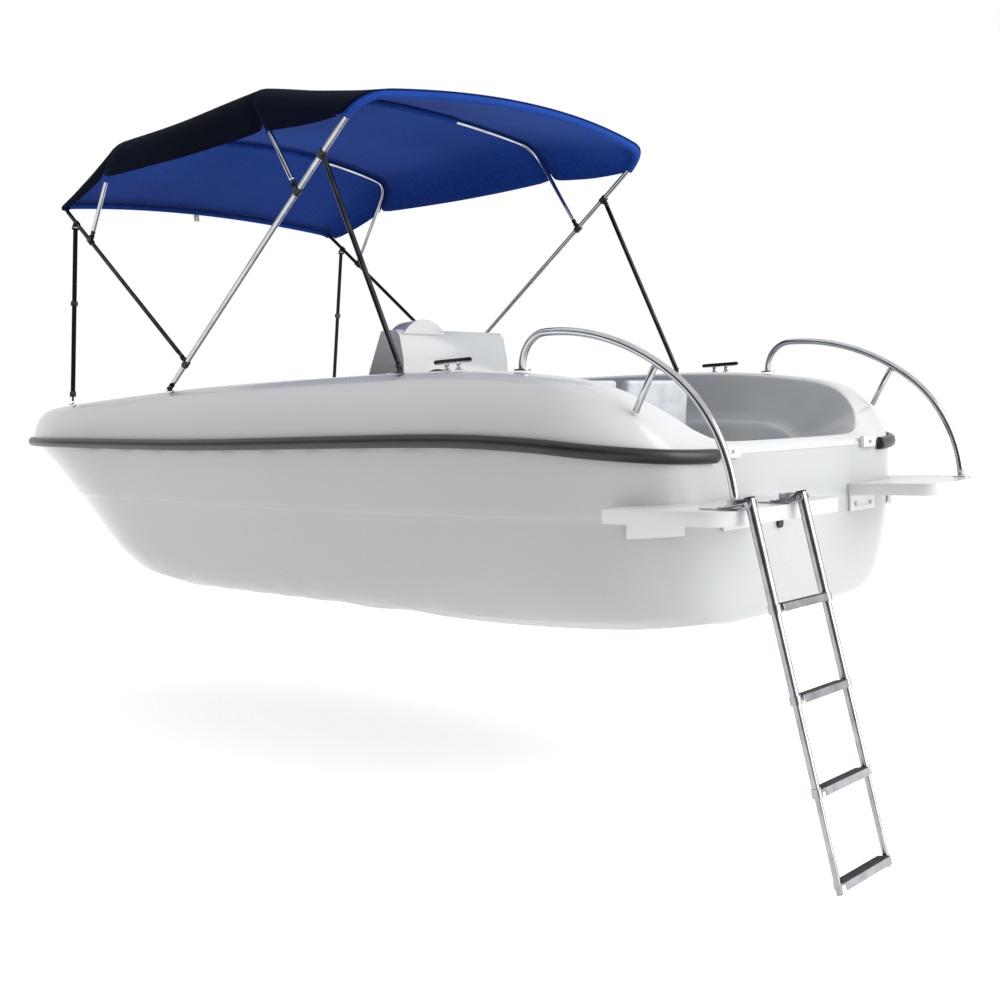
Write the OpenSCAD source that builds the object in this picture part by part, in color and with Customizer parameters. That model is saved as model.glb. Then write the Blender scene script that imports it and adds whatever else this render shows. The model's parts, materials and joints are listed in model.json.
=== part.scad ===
// Small glass-fibre pedal boat with a folding sun canopy, stern platforms and a telescoping ladder.
// +X points to the bow, +Y to port, +Z up. The origin is on the flat keel pad, and sizes are in mm.

/* [Hull] */
// Distance from the keel pad's centre back to the transom
transom_back = 2300; // [2150:10:2500]
// Distance from the keel pad's centre forward to the stem at the rub line
stem_fwd = 2850; // [2700:10:3200]
// Half breadth of the hull at the rub line
half_beam = 955; // [920:5:1150]
// Thickness of the moulded hull and deck
skin = 9; // [7:0.5:14]
// Height of the transom's top edge
transom_top = 637; // [600:1:680]
// Height of the gunwale's crest amidships
crest_mid = 1004; // [940:1:1100]
// Height of the cockpit sole
sole_z = 250; // [220:5:300]
// Half breadth of the cockpit at its coaming
cockpit_half = 722; // [640:2:760]
// Height of the side ledge in the cockpit
ledge_z = 755; // [700:5:820]
// Width of the side ledge
ledge_w = 45; // [20:1:80]
// Height of the rubber rub rail's section
rub_h = 50; // [36:1:64]
// How far the rub rail stands proud of the hull
rub_out = 30; // [18:1:44]

/* [Platforms] */
// Height of the platforms' top face
plat_top = 490; // [470:1:520]
// Thickness of a platform
plat_t = 45; // [34:1:60]
// How far a platform reaches behind the transom
plat_aft = 345; // [320:1:400]
// Drop of the fixing flanges below a platform
flange_drop = 62; // [50:1:90]

/* [Grab rails] */
// Outside diameter of the grab rails' tube
rail_d = 28; // [22:1:34]
// Distance of the rails in from the hull's rub line
rail_in = 165; // [145:1:185]
// Diameter of the rails' round base plates
rail_base_d = 62; // [50:1:80]

/* [Ladder] */
// Outside diameter of the ladder's upper rails
ladder_d = 32; // [28:1:36]
// Distance between the rails' centres
ladder_w = 281; // [240:1:340]
// Distance of the ladder's middle from the centreline
ladder_y = 778; // [700:1:800]
// Distance from the hinge down to the first step
step_first = 322; // [300:1:340]
// Distance between steps with the ladder drawn out
step_pitch = 262; // [255:1:280]
// Travel of each sliding section
slide_travel = 215; // [180:1:220]
// Depth of a step from front to back
step_depth = 42; // [30:1:60]
// Thickness of a step
step_t = 22; // [16:1:26]
// Lean of the ladder from upright
ladder_lean = 13.2; // [8:0.1:20]

/* [Canopy frame] */
// Outside diameter of the main bow's tube
main_d = 25; // [22:0.5:28]
// Outside diameter of the other bows' tube
bow_d = 22; // [19:0.5:25]
// Distance of the bows' legs in from the hull's rub line
bow_in = 80; // [70:1:90]
// Length of the main bow from its hinge to its crown
main_len = 1965; // [1800:5:2100]
// Length of the front bow from its pivot to its crown
front_len = 1545; // [1450:5:1560]
// Length of the rear middle bow
rear_mid_len = 618; // [560:1:640]
// Length of the front middle bow
front_mid_len = 605; // [560:1:620]
// Distance of the pivots from the tube that carries them
pivot_off = 30; // [28:0.5:34]
// Diameter of the pivot screws
screw_d = 6; // [5:0.5:8]
// Thickness of the canopy's cloth solid
cloth_t = 5; // [4:0.5:8]

/* [Fits] */
// Radial clearance of every shaft, pin and sliding tube
fit = 0.05; // [0.02:0.01:0.1]
// Gap between parts that lie against each other
gap = 0.3; // [0.2:0.1:0.6]

/* [Drive] */
// Radius of the pedal cranks
crank_r = 122; // [110:1:140]
// Diameter of the crankshaft
crank_d = 25; // [20:1:30]
// Height of the crankshaft
crank_z = 470; // [450:5:500]
// Diameter of the propeller
prop_d = 110; // [90:2:120]
// Diameter of the propeller shaft
prop_shaft_d = 16; // [12:1:20]
// Diameter of the rudder stock
stock_d = 20; // [16:1:26]
// Depth of the rudder blade
rudder_depth = 84; // [70:2:110]
// Outside diameter of the steering wheel
wheel_d = 300; // [280:5:330]

/* [Hidden] */
tx = -transom_back;
bf = half_beam / 955;
rail_y = half_beam - rail_in;
bow_y = half_beam - bow_in;

// ---- curves ----
// Smooth curve through [x, z] points: slope at each point is that of its neighbours
function find_seg(p, x, i = 0) = (i >= len(p) - 2 || x < p[i + 1][0]) ? i : find_seg(p, x, i + 1);
function slope_at(p, i) =
    let (a = max(i - 1, 0), b = min(i + 1, len(p) - 1)) (p[b][1] - p[a][1]) / (p[b][0] - p[a][0]);
function curve(p, x0) =
    let (x = min(max(x0, p[0][0]), p[len(p) - 1][0]), i = find_seg(p, x),
         h = p[i + 1][0] - p[i][0], t = (x - p[i][0]) / h,
         m0 = slope_at(p, i) * h, m1 = slope_at(p, i + 1) * h)
    (2 * t * t * t - 3 * t * t + 1) * p[i][1] + (t * t * t - 2 * t * t + t) * m0
    + (3 * t * t - 2 * t * t * t) * p[i + 1][1] + (t * t * t - t * t) * m1;

// Height of the keel, the knuckle, the rub line and the gunwale's crest along the boat
function keel(x) = curve([[tx, 55], [tx + 450, 18], [tx + 900, 0], [-900, 0], [-300, 0], [300, 0], [700, 4],
    [1300, 36], [2000, 90]], x);
function knuckle(x) = curve([[tx, 456], [tx + 800, 449], [-500, 453], [300, 466], [1200, 488], [2400, 484]], x);
function rub(x) = curve([[tx, transom_top - 2], [tx + 220, 666], [tx + 550, 704], [tx + 900, 719], [-700, 726],
    [300, 735], [1200, 759], [2000, 782], [stem_fwd, 800]], x);
function crest(x) = curve([[tx, transom_top + 14], [tx + 60, 700], [tx + 120, 775], [tx + 240, 866],
    [tx + 450, 926], [tx + 850, crest_mid - 32], [-700, crest_mid - 12], [300, crest_mid], [1200, crest_mid - 14],
    [2000, crest_mid - 34], [stem_fwd, crest_mid - 42]], x);

// One level of the moulding: half a plan outline from the transom's corner round to the stem
// b half breadth, tip and nose the bow's end and length, back the stern, cw and cl the corner's width and length
n_corner = 9;
n_side = 11;
n_bow = 13;
function half_plan(b, tip, nose, back, cw, cl, pw = 2.1) = concat(
    [for (i = [0:n_corner - 1]) let (a = 90 * i / n_corner)
        [back + cl * (1 - pow(cos(a), 2 / pw)), b - cw + cw * pow(sin(a), 2 / pw)]],
    [for (i = [0:n_side - 1]) [back + cl + (tip - nose - back - cl) * i / n_side, b]],
    [for (i = [0:n_bow]) let (a = 90 * i / n_bow)
        [tip - nose + nose * pow(sin(a), 2 / pw), b * pow(max(cos(a), 0), 2 / pw)]]);
n_half = n_corner + n_side + n_bow + 1;
function whole(h) = concat(h, [for (i = [n_half - 2:-1:0]) [h[i][0], -h[i][1], h[i][2]]]);
n_ring = 2 * n_half - 1;
function mirror_of(k) = n_ring - 1 - k;
// Skins a stack of closed rings into one solid, and closes its two ends across the boat
module loft(rings) {
    n = len(rings);
    last = (n - 1) * n_ring;
    polyhedron(points = [for (r = rings) each r], faces = concat(
        [for (j = [0:n - 2], k = [0:n_ring - 1]) let (a = j * n_ring + k, b = j * n_ring + (k + 1) % n_ring)
            [a, a + n_ring, b]],
        [for (j = [0:n - 2], k = [0:n_ring - 1]) let (a = j * n_ring + k, b = j * n_ring + (k + 1) % n_ring)
            [b, a + n_ring, b + n_ring]],
        cap(0, false), cap(last, true)), convexity = 10);
}
function cap(o, flip) = concat(
    [for (k = [0:n_half - 2]) let (f = [o + k, o + k + 1, o + mirror_of(k + 1)])
        if (k < n_half - 2) flip ? [f[2], f[1], f[0]] : f],
    [for (k = [0:n_half - 2]) let (f = k == n_half - 2
        ? [o + k, o + k + 1, o + mirror_of(k)] : [o + k, o + mirror_of(k + 1), o + mirror_of(k)])
        flip ? [f[2], f[1], f[0]] : f]);
// Puts a height on each point of a plan outline: kind picks the rule, v its value
function height(kind, v, x) =
    kind == "keel" ? keel(x) + v :
    kind == "flat" ? v :
    kind == "knuckle" ? knuckle(x) + v :
    kind == "rub" ? rub(x) + v :
    kind == "side" ? keel(x) + (knuckle(x) - keel(x)) * v :
    kind == "ledge" ? curve([[tx + 350, transom_top + 4], [tx + 600, ledge_z - 10], [tx + 800, ledge_z],
        [1900, ledge_z]], x) + v :
    rub(x) + (crest(x) - rub(x)) * v;
function level(b, tip, nose, back, cw, cl, kind, v, dz = 0) =
    whole([for (p = half_plan(b * bf, tip, nose, tx + back, cw, cl)) [p[0], p[1], height(kind, v, p[0]) + dz]]);

tip = stem_fwd;
s = skin;
hull_outer = [
    level(560, tip - 1350, 900, 65, 200, 250, "keel", 0),
    level(690, tip - 1140, 1040, 40, 260, 300, "keel", 18),
    level(775, tip - 960, 1130, 20, 310, 330, "keel", 58),
    level(825, tip - 860, 1180, 12, 330, 350, "keel", 115),
    level(868, tip - 780, 1210, 8, 350, 370, "keel", 195),
    level(902, tip - 650, 1240, 5, 360, 390, "side", 0.72),
    level(921, tip - 527, 1250, 3, 360, 400, "knuckle", -6),
    level(930, tip - 510, 1250, 2, 360, 400, "knuckle", 0),
    level(944, tip - 240, 1280, 1, 380, 410, "between", -0.6),
    level(955, tip, 1300, 0, 400, 420, "rub", 0)];
hull_inner = [
    level(955 - s, tip - s, 1300 - s, s, 400 - s, 420 - s, "rub", 0),
    level(944 - s, tip - 240 - s, 1280 - s, 1 + s, 380 - s, 410 - s, "between", -0.6),
    level(930 - s, tip - 510 - s, 1250 - s, 2 + s, 360 - s, 400 - s, "knuckle", 0),
    level(902 - s, tip - 650 - s, 1240 - s, 5 + s, 360 - s, 390 - s, "side", 0.72),
    level(825 - s, tip - 860 - s, 1180 - s, 12 + s, 330 - s, 350 - s, "keel", 115 + s / 2),
    level(690 - s, tip - 1140 - s, 1040 - s, 40 + s, 260 - s, 300 - s, "keel", 18 + s),
    level(560 - s, tip - 1350 - s, 900 - s, 65 + s, 200 - s, 250 - s, "keel", s)];
well_b = cockpit_half - 17;
deck_under = [
    level(560 + s, 1400 + s, 500 + s, 480 - s, 160 + s, 180 + s, "flat", sole_z, -s),
    level(well_b - ledge_w - 25 + s, 1600 + s, 560 + s, 400 - s, 160 + s, 190 + s, "flat", 330, -s),
    level(well_b - ledge_w + s, 1680 + s, 600 + s, 360 - s, 160 + s, 200 + s, "ledge", -26, -s),
    level(well_b + s, 1750 + s, 620 + s, 330 - s, 160 + s, 210 + s, "ledge", 0, -s),
    level(cockpit_half + s, 1850 + s, 640, 40, 372, 380, "crest", 0.93, -s - 12),
    level(805, tip - 160, 1180, 30, 390, 400, "crest", 1, -s - 1),
    level(905 - s, tip - 62 - s, 1280 - s, 9 + s, 400 - s, 410 - s, "crest", 0.86, -s / 2),
    level(948 - s, tip - 12 - s, 1296 - s, 3 + s, 400 - s, 418 - s, "crest", 0.35),
    level(955 - s, tip - s, 1300 - s, 2 + s, 400 - s, 420 - s, "rub", gap)];
deck_over = [
    level(955, tip, 1300, 0, 400, 420, "rub", gap),
    level(948, tip - 12, 1296, 2, 400, 418, "crest", 0.35),
    level(931, tip - 34, 1288, 5, 400, 415, "crest", 0.64),
    level(905, tip - 62, 1280, 9, 400, 410, "crest", 0.86),
    level(868, tip - 98, 1240, 14, 400, 405, "crest", 0.965),
    level(815, tip - 160, 1180, 20, 400, 400, "crest", 1),
    level(748, 1960, 700, 28, 372, 390, "crest", 0.99),
    level(cockpit_half + 6, 1885, 660, 34, 360, 385, "crest", 0.95),
    level(cockpit_half, 1850, 640, 40, 355, 380, "crest", 0.88),
    level(well_b, 1750, 620, 330, 160, 210, "ledge", 0),
    level(well_b - ledge_w, 1680, 600, 360, 160, 200, "ledge", 0),
    level(well_b - ledge_w - 12, 1660, 590, 365, 160, 198, "ledge", -22),
    level(well_b - ledge_w - 25, 1600, 560, 400, 160, 190, "flat", 330),
    level(560, 1400, 500, 480, 160, 180, "flat", sole_z)];

// Height of the gunwale's moulded top at a place on its straight side, read off the rings themselves
function ring_z(j, x) = lookup(x, [for (k = [n_corner:n_half - 1]) [deck_over[j][k][0], deck_over[j][k][2]]]);
function deck_z(x, y) = lookup(y / bf, [[748, ring_z(6, x)], [815, ring_z(5, x)], [868, ring_z(4, x)],
    [905, ring_z(3, x)], [931, ring_z(2, x)]]);
// Lowest seat that clears the gunwale under a fitting of half length r and half width w
function seat_z(x, y, r, w) = gap + max([for (i = [-1, 0, 1], j = [-1, 0, 1]) deck_z(x + i * r, y + j * w)]);

// Height and half breadth of the moulded outside at the rub line, for pieces that follow it
rub_plan = [for (p = half_plan(955 * bf, tip, 1300, tx, 400, 420)) [p[0], p[1], rub(p[0])]];

// ---- drive places ----
leg_x = -650;
trunk_d = 120;
rudder_x = tx + 800;
stock_hole_d = stock_d + 14;

// ---- hull ----
module hull_shell() {
    color("#e9ebec")
    difference() {
        loft(concat(hull_outer, hull_inner));
        translate([leg_x, 0, -50]) cylinder(d = trunk_d + 2 * gap, h = 150, $fn = 64);
        translate([rudder_x, 0, -50]) cylinder(d = stock_hole_d + 2 * gap, h = 150, $fn = 48);
        translate([tx - 20, 165, 380]) rotate([0, 90, 0]) cylinder(d = 24 + 2 * gap, h = 60, $fn = 48);
    }
}
module deck_liner() {
    color("#eef0f1")
    difference() {
        loft(concat(deck_under, deck_over));
        translate([leg_x, 0, sole_z - 50]) cylinder(d = trunk_d + 2 * gap, h = 100, $fn = 64);
    }
}

// Rub rail: a D section carried along the rub line from one stern corner round the bow to the other
rub_path = let (h = [for (i = [0:n_half - 1]) rub_plan[i]])
    concat(h, [for (i = [len(h) - 2:-1:0]) [h[i][0], -h[i][1], h[i][2]]]);
rub_in = 2 * gap + 0.4;
rub_section = [[rub_in, -rub_h / 2], [rub_out * 0.55, -rub_h * 0.48], [rub_out * 0.9, -rub_h * 0.3], [rub_out, 0],
    [rub_out * 0.9, rub_h * 0.3], [rub_out * 0.55, rub_h * 0.48], [rub_in, rub_h / 2]];
function out_dir(p, i) =
    let (a = p[max(i - 1, 0)], b = p[min(i + 1, len(p) - 1)], t = [b[0] - a[0], b[1] - a[1]], l = norm(t))
    [-t[1] / l, t[0] / l];
function swept(p, sec) = [for (i = [0:len(p) - 1]) let (o = out_dir(p, i))
    [for (q = sec) [p[i][0] + o[0] * q[0], p[i][1] + o[1] * q[0], p[i][2] + q[1]]]];
module skin_tube(rings) {
    n = len(rings);
    m = len(rings[0]);
    polyhedron(points = [for (r = rings) each r], faces = concat(
        [for (j = [0:n - 2], k = [0:m - 1]) [j * m + k, (j + 1) * m + k, j * m + (k + 1) % m]],
        [for (j = [0:n - 2], k = [0:m - 1]) [j * m + (k + 1) % m, (j + 1) * m + k, (j + 1) * m + (k + 1) % m]],
        [[for (k = [0:m - 1]) k]], [[for (k = [m - 1:-1:0]) (n - 1) * m + k]]), convexity = 6);
}
module rub_rail() {
    color("#1b1c1e") skin_tube(swept(rub_path, rub_section));
}

// Corner caps: square white ends of the gunwale's ridge on the transom
cap_w = 95;
cap_h = 42;
cap_out = 16;
cap_y = 470;
cap_z = transom_top - cap_h / 2 + 30;
module both() {
    children();
    mirror([0, 1, 0]) children();
}
module corner_caps() {
    color("#f4f4f4") both() difference() {
        translate([tx - cap_out - gap, cap_y - cap_w / 2, cap_z - cap_h / 2]) cube([cap_out, cap_w, cap_h]);
        translate([tx - cap_out - 10, cap_y, cap_z]) rotate([0, 90, 0])
            cylinder(d = screw_d + 2 * fit, h = 40, $fn = 32);
    }
}
module corner_bolts() {
    color("#8d9094") both() translate([tx - cap_out - gap, cap_y, cap_z]) rotate([0, 90, 0]) {
        cylinder(d = screw_d, h = cap_out, $fn = 32);
        translate([0, 0, -4 - gap]) cylinder(d = screw_d * 2, h = 4, $fn = 32);
        translate([0, 0, -gap - 1]) cylinder(d = screw_d, h = 2, $fn = 32);
    }
}

// ---- platforms ----
plat_in = 330;
plat_fwd = tx + 118;
// The hull's plan where a platform meets it: just above the knuckle for the deck, just below it for the flange
plat_fit = 0.6;
function hull_plan(low, high, t) = [for (k = [0:n_corner + 2]) let (p = low[k] * (1 - t) + high[k] * t)
    [p[0] - plat_fit, p[1] + plat_fit]];
plat_line = hull_plan(hull_outer[7], hull_outer[8], 0.32);
side_line = hull_plan(hull_outer[6], hull_outer[6], 0);
plat_inner = concat([[plat_line[0][0], plat_in]], [for (p = plat_line) if (p[0] < plat_fwd + 80) p]);
module platform_plan(outer_y, outer_r) {
    difference() {
        union() {
            translate([tx - plat_aft + 60, plat_in]) square([plat_aft + 200, outer_y - plat_in - outer_r]);
            translate([tx - plat_aft, plat_in + 60])
                square([plat_aft + 200, outer_y - plat_in - 60 - outer_r]);
            translate([tx - plat_aft + 60, plat_in + 60]) circle(r = 60, $fn = 48);
            translate([tx - plat_aft + outer_r, outer_y - outer_r]) circle(r = outer_r, $fn = 96);
            translate([tx - plat_aft + outer_r, outer_y - outer_r * 2])
                square([plat_aft + 200 - outer_r, outer_r * 2]);
        }
        polygon(concat(plat_inner, [[plat_fwd + 400, 960 * bf], [plat_fwd + 400, plat_in - 40],
            [plat_line[0][0], plat_in - 40]]));
        translate([plat_fwd, 0]) square([600, 1400]);
    }
}
// Flanges under a platform: one flat on the transom, one bent round the hull's side
function flange_part(line) = [for (k = [0:len(line) - 1])
    if (side_line[k][0] > tx + 20 && side_line[k][0] < plat_fwd + 40) line[k]];
flange_in = 2.4;
module flanges() {
    top = plat_top - plat_t;
    difference() {
        translate([tx + flange_in - 8, plat_in, top - flange_drop]) cube([8, 190, flange_drop]);
        for (y = [plat_in + 40, plat_in + 150]) translate([tx - 30, y, top - 36])
            rotate([0, 90, 0]) cylinder(d = 8 + 2 * fit, h = 60, $fn = 32);
    }
    near = flange_part(side_line);
    far = flange_part(plat_line);
    translate([0, 0, top - flange_drop]) linear_extrude(flange_drop)
        polygon(concat(near, [for (i = [len(far) - 1:-1:0]) far[i] + [-4, 7]]));
}
module platform(outer_y, outer_r) {
    translate([0, 0, plat_top - plat_t]) linear_extrude(plat_t) platform_plan(outer_y, outer_r);
    flanges();
}
module port_platform() {
    color("#f1f2f2") platform(1000, 90);
}
module starboard_platform() {
    color("#f1f2f2") mirror([0, 1, 0]) platform(905, 290);
}
module platform_bolts() {
    color("#b9bcc0") both() for (y = [plat_in + 40, plat_in + 150])
        translate([tx + flange_in - 8, y, plat_top - plat_t - 36]) rotate([0, 90, 0]) {
            cylinder(d = 8, h = 8, $fn = 32);
            translate([0, 0, -5 - gap]) cylinder(d = 15, h = 5, $fn = 6);
            translate([0, 0, -gap - 1]) cylinder(d = 8, h = 2, $fn = 32);
        }
}

// ---- grab rails ----
// Front foot on the gunwale, a short bend, a long arc over the quarter and the aft foot on the platform
bend_r = 116;
rail_top = 1080;
arc_c = [tx + 519, rail_top - 900];
bend_c = [arc_c[0], rail_top - bend_r];
foot_f = [bend_c[0] + bend_r, bend_c[1]];
// Long arc in two radii: a flat one over the top and a tighter one down to the platform
arc1_r = 900;
arc1_end = 35.9;
arc2_r = 550;
arc2_c = [arc_c[0] - (arc1_r - arc2_r) * sin(arc1_end), arc_c[1] + (arc1_r - arc2_r) * cos(arc1_end)];
rail_foot_z = plat_top + gap + 5;
arc2_end = acos((rail_foot_z - arc2_c[1]) / arc2_r);
aft_x = arc2_c[0] - arc2_r * sin(arc2_end);
strut_a = 31.7;
strut_top = [arc_c[0] - arc1_r * sin(strut_a), arc_c[1] + arc1_r * cos(strut_a)];
strut_foot = [tx + 136.4, 789.9];
// Bent tube: a ring of flats carried along points that lie in a plane square to n
tube_sides = 14;
function unit(v) = v / norm(v);
function tube_ring(p, i, n, d) =
    let (t = unit(p[min(i + 1, len(p) - 1)] - p[max(i - 1, 0)]), u = cross(n, t))
    [for (k = [0:tube_sides - 1]) let (a = 360 * k / tube_sides) p[i] + (cos(a) * u + sin(a) * n) * d / 2];
module bent_tube(p, n, d) { skin_tube([for (i = [0:len(p) - 1]) tube_ring(p, i, n, d)]); }
function arc_xz(c, r, a0, a1, m, y) =
    [for (i = [0:m]) let (a = a0 + (a1 - a0) * i / m) [c[0] - r * sin(a), y, c[1] + r * cos(a)]];
module straight(p, q, d) {
    v = q - p;
    l = norm(v);
    translate(p) rotate([0, acos(v[2] / l), atan2(v[1], v[0])]) cylinder(d = d, h = l, $fn = 32);
}
foot_z = seat_z(foot_f[0], rail_y, rail_base_d / 2, rail_base_d / 2);
module grab_rail() {
    bent_tube(concat([[foot_f[0], rail_y, foot_z + 6]], arc_xz(bend_c, bend_r, -90, -9, 9, rail_y),
        arc_xz(arc_c, arc1_r, 0, arc1_end, 9, rail_y),
        arc_xz(arc2_c, arc2_r, arc1_end + 6, arc2_end, 9, rail_y)),
        [0, 1, 0], rail_d);
    v = unit(strut_top - strut_foot);
    e = strut_top - v * (rail_d / 2 + gap);
    straight([strut_foot[0], rail_y, strut_foot[1]], [e[0], rail_y, e[1]], rail_d * 0.8);
}
module port_grab_rail() {
    color("#c9ccd0") grab_rail();
}
module starboard_grab_rail() {
    color("#c9ccd0") mirror([0, 1, 0]) grab_rail();
}
module rail_bases() {
    color("#c0c3c7") both() {
        translate([aft_x, rail_y, plat_top + gap]) cylinder(d = rail_base_d, h = 4, $fn = 48);
        translate([foot_f[0], rail_y, foot_z]) cylinder(d = rail_base_d, h = 6, $fn = 48);
    }
}

// ---- ladder ----
hinge = [tx - plat_aft - 28, 0, plat_top + 20];
pin_d = 8;
bracket_t = 4;
bracket_l = 150;
rail_gap = 1;
// Section n: 1 is the upper, fixed in length; each next one slides inside the one before
sec_wall = 2;
function sec_d(n) = ladder_d - (n - 1) * (2 * sec_wall + 2 * fit);
function sec_end(n) = step_first + (n - 1) * step_pitch;
overlap = step_pitch - slide_travel - 5;
// Ladder axes: local X runs down the ladder, local Y to port, local Z to the ladder's front
module on_ladder() {
    translate([hinge[0], ladder_y, hinge[2]]) rotate([0, 90 + ladder_lean, 0]) children();
}
module rails(n) {
    start = n == 1 ? -14 : sec_end(n - 1) - overlap;
    stop = sec_end(n) + (n == 4 ? 8 : 0);
    for (k = [-1, 1]) translate([0, k * ladder_w / 2, 0]) difference() {
        union() {
            translate([start, 0, 0]) rotate([0, 90, 0]) cylinder(d = sec_d(n), h = stop - start, $fn = 48);
            if (n < 4) translate([sec_end(n) - 26, 0, 0]) rotate([0, 90, 0])
                cylinder(d = sec_d(n) + 7, h = 26, $fn = 48);
        }
        translate([start - 1, 0, 0]) rotate([0, 90, 0])
            cylinder(d = sec_d(n) - 2 * sec_wall, h = stop - start + 2, $fn = 48);
        if (n == 1) rotate([90, 0, 0]) translate([0, 0, -40])
            cylinder(d = pin_d + 2 * fit, h = 80, $fn = 32);
    }
}
module ladder_rails_1() { color("#c6c9cd") on_ladder() rails(1); }
module ladder_rails_2() { color("#c6c9cd") on_ladder() rails(2); }
module ladder_rails_3() { color("#c6c9cd") on_ladder() rails(3); }
module ladder_rails_4() { color("#c6c9cd") on_ladder() rails(4); }
// Step: a channel between the collars, with a ribbed tread on top
module step(n) {
    half = ladder_w / 2 - (sec_d(n) + (n < 4 ? 7 : 0)) / 2 - gap;
    translate([sec_end(n) - 24, -half, -step_depth / 2]) difference() {
        cube([step_t, 2 * half, step_depth]);
        translate([4, -1, 3]) cube([step_t, 2 * half + 2, step_depth - 6]);
    }
    for (i = [0:6]) translate([sec_end(n) - 24 - 1.5, -half + 6, -step_depth / 2 + 3 + i * (step_depth - 8) / 6])
        cube([3, 2 * half - 12, 2]);
}
module ladder_step_1() { color("#3c3e41") on_ladder() step(1); }
module ladder_step_2() { color("#3c3e41") on_ladder() step(2); }
module ladder_step_3() { color("#3c3e41") on_ladder() step(3); }
module ladder_step_4() { color("#3c3e41") on_ladder() step(4); }
// Brackets: long pointed foot plates on the platform, with an ear beside each rail
module ladder_brackets() {
    color("#b4b7bb") for (k = [-1, 1]) translate([0, ladder_y + k * ladder_w / 2, 0]) {
        ear_y = (ladder_d / 2 + rail_gap);
        translate([tx - plat_aft + 3, 0, plat_top + gap]) linear_extrude(bracket_t)
            polygon([[0, -24], [40, -24], [bracket_l - 10, -7], [bracket_l, 0], [bracket_l - 10, 7],
                [40, 24], [0, 24]]);
        for (e = [-1, 1]) difference() {
            union() {
                translate([hinge[0], e * (ear_y + bracket_t / 2) - bracket_t / 2, hinge[2] - 12])
                    cube([tx - plat_aft + 40 - hinge[0], bracket_t, 24]);
                translate([hinge[0], e * (ear_y + bracket_t / 2) + bracket_t / 2, hinge[2]]) rotate([90, 0, 0])
                    cylinder(d = 24, h = bracket_t, $fn = 48);
                translate([tx - plat_aft + 4, e * (ear_y + bracket_t / 2) - bracket_t / 2, plat_top + gap])
                    cube([70, bracket_t, 10]);
            }
            translate([hinge[0], 40, hinge[2]]) rotate([90, 0, 0])
                cylinder(d = pin_d + 2 * fit, h = 80, $fn = 32);
        }
    }
}
module ladder_pins() {
    color("#9da0a4") for (k = [-1, 1])
        translate([hinge[0], ladder_y + k * ladder_w / 2, hinge[2]]) rotate([90, 0, 0]) {
        reach = ladder_d / 2 + rail_gap + bracket_t;
        translate([0, 0, -reach - gap]) cylinder(d = pin_d, h = 2 * (reach + gap), $fn = 32);
        for (e = [-1, 1]) translate([0, 0, e * (reach + gap + 1.5) - 1.5]) cylinder(d = 14, h = 3, $fn = 32);
    }
}
module ladder_caps() {
    color("#1d1e20") on_ladder() for (k = [-1, 1]) translate([-20, k * ladder_w / 2, 0]) rotate([0, 90, 0]) {
        cylinder(d = ladder_d, h = 6 - gap, $fn = 48);
        cylinder(d = ladder_d - 2 * sec_wall - 2 * fit, h = 10, $fn = 48);
    }
}

// ---- canopy frame ----
main_foot = [591, 1009];
main_dir = 145.7;
front_dir = 38;
rear_mid_dir = 58;
front_mid_dir = 126;
pivot_p_s = 190;
pivot_l_s = 1334;
strut_s = 1545;
front_a_s = 1075;
slider_s = 1255;
function along(o, a, s, off = 0) = [o[0] + s * cos(a) - off * sin(a), o[1] + s * sin(a) + off * cos(a)];
// Pivots sit off their carrying tube, on the side that the other bow folds from
pivot_p = along(main_foot, main_dir, pivot_p_s, -pivot_off);
pivot_l = along(main_foot, main_dir, pivot_l_s, -pivot_off);
pivot_a = along(pivot_p, front_dir, front_a_s, pivot_off);
pivot_s = along(pivot_p, front_dir, slider_s, -pivot_off);
strut_u = along(main_foot, main_dir, strut_s, pivot_off - 4);
strut_g = [-1102, 1006];
// Local axes of a bow: X along its legs, Y to port, Z square to both
module at_bow(o, a) {
    translate([o[0], 0, o[1]]) rotate([0, -a, 0]) children();
}
crown_r = 3700;
// Corner radius, crown half angle and the leg's straight length of a bow
function crown_a(r) = asin((bow_y - r) / (crown_r - r));
function leg_len(len, r) = len - crown_r + (crown_r - r) * cos(crown_a(r));
// Points of a bow in its own plane, from the port leg's end over the crown to the starboard leg's end
function bow_half(len, r, from) =
    let (a = crown_a(r), sc = leg_len(len, r), cc = len - crown_r) concat(
    [[from, bow_y]],
    [for (i = [0:6]) let (b = 90 - (90 - a) * i / 6) [sc + r * cos(b), bow_y - r + r * sin(b)]],
    [for (i = [1:6]) let (b = a * (1 - i / 6)) [cc + crown_r * cos(b), crown_r * sin(b)]]);
module bow_path(len, r, d, from) {
    h = bow_half(len, r, from);
    bent_tube(concat([for (q = h) [q[0], q[1], 0]], [for (i = [len(h) - 2:-1:0]) [h[i][0], -h[i][1], 0]]),
        [0, 0, -1], d);
}
corner_r = 140;
front_corner_r = 75;
eye_l = 26;
module main_bow() { color("#c4c7cb") at_bow(main_foot, main_dir) bow_path(main_len, corner_r, main_d, eye_l); }
module front_bow() {
    color("#54585d") at_bow(pivot_p, front_dir) bow_path(front_len, front_corner_r, bow_d, eye_l);
}
module rear_mid_bow() {
    color("#6a6e73") at_bow(pivot_l, rear_mid_dir) bow_path(rear_mid_len, corner_r - 10, bow_d, eye_l);
}
module front_mid_bow() {
    color("#b9bcc0") at_bow(pivot_a, front_mid_dir) bow_path(front_mid_len, corner_r - 30, bow_d, eye_l);
}
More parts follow.
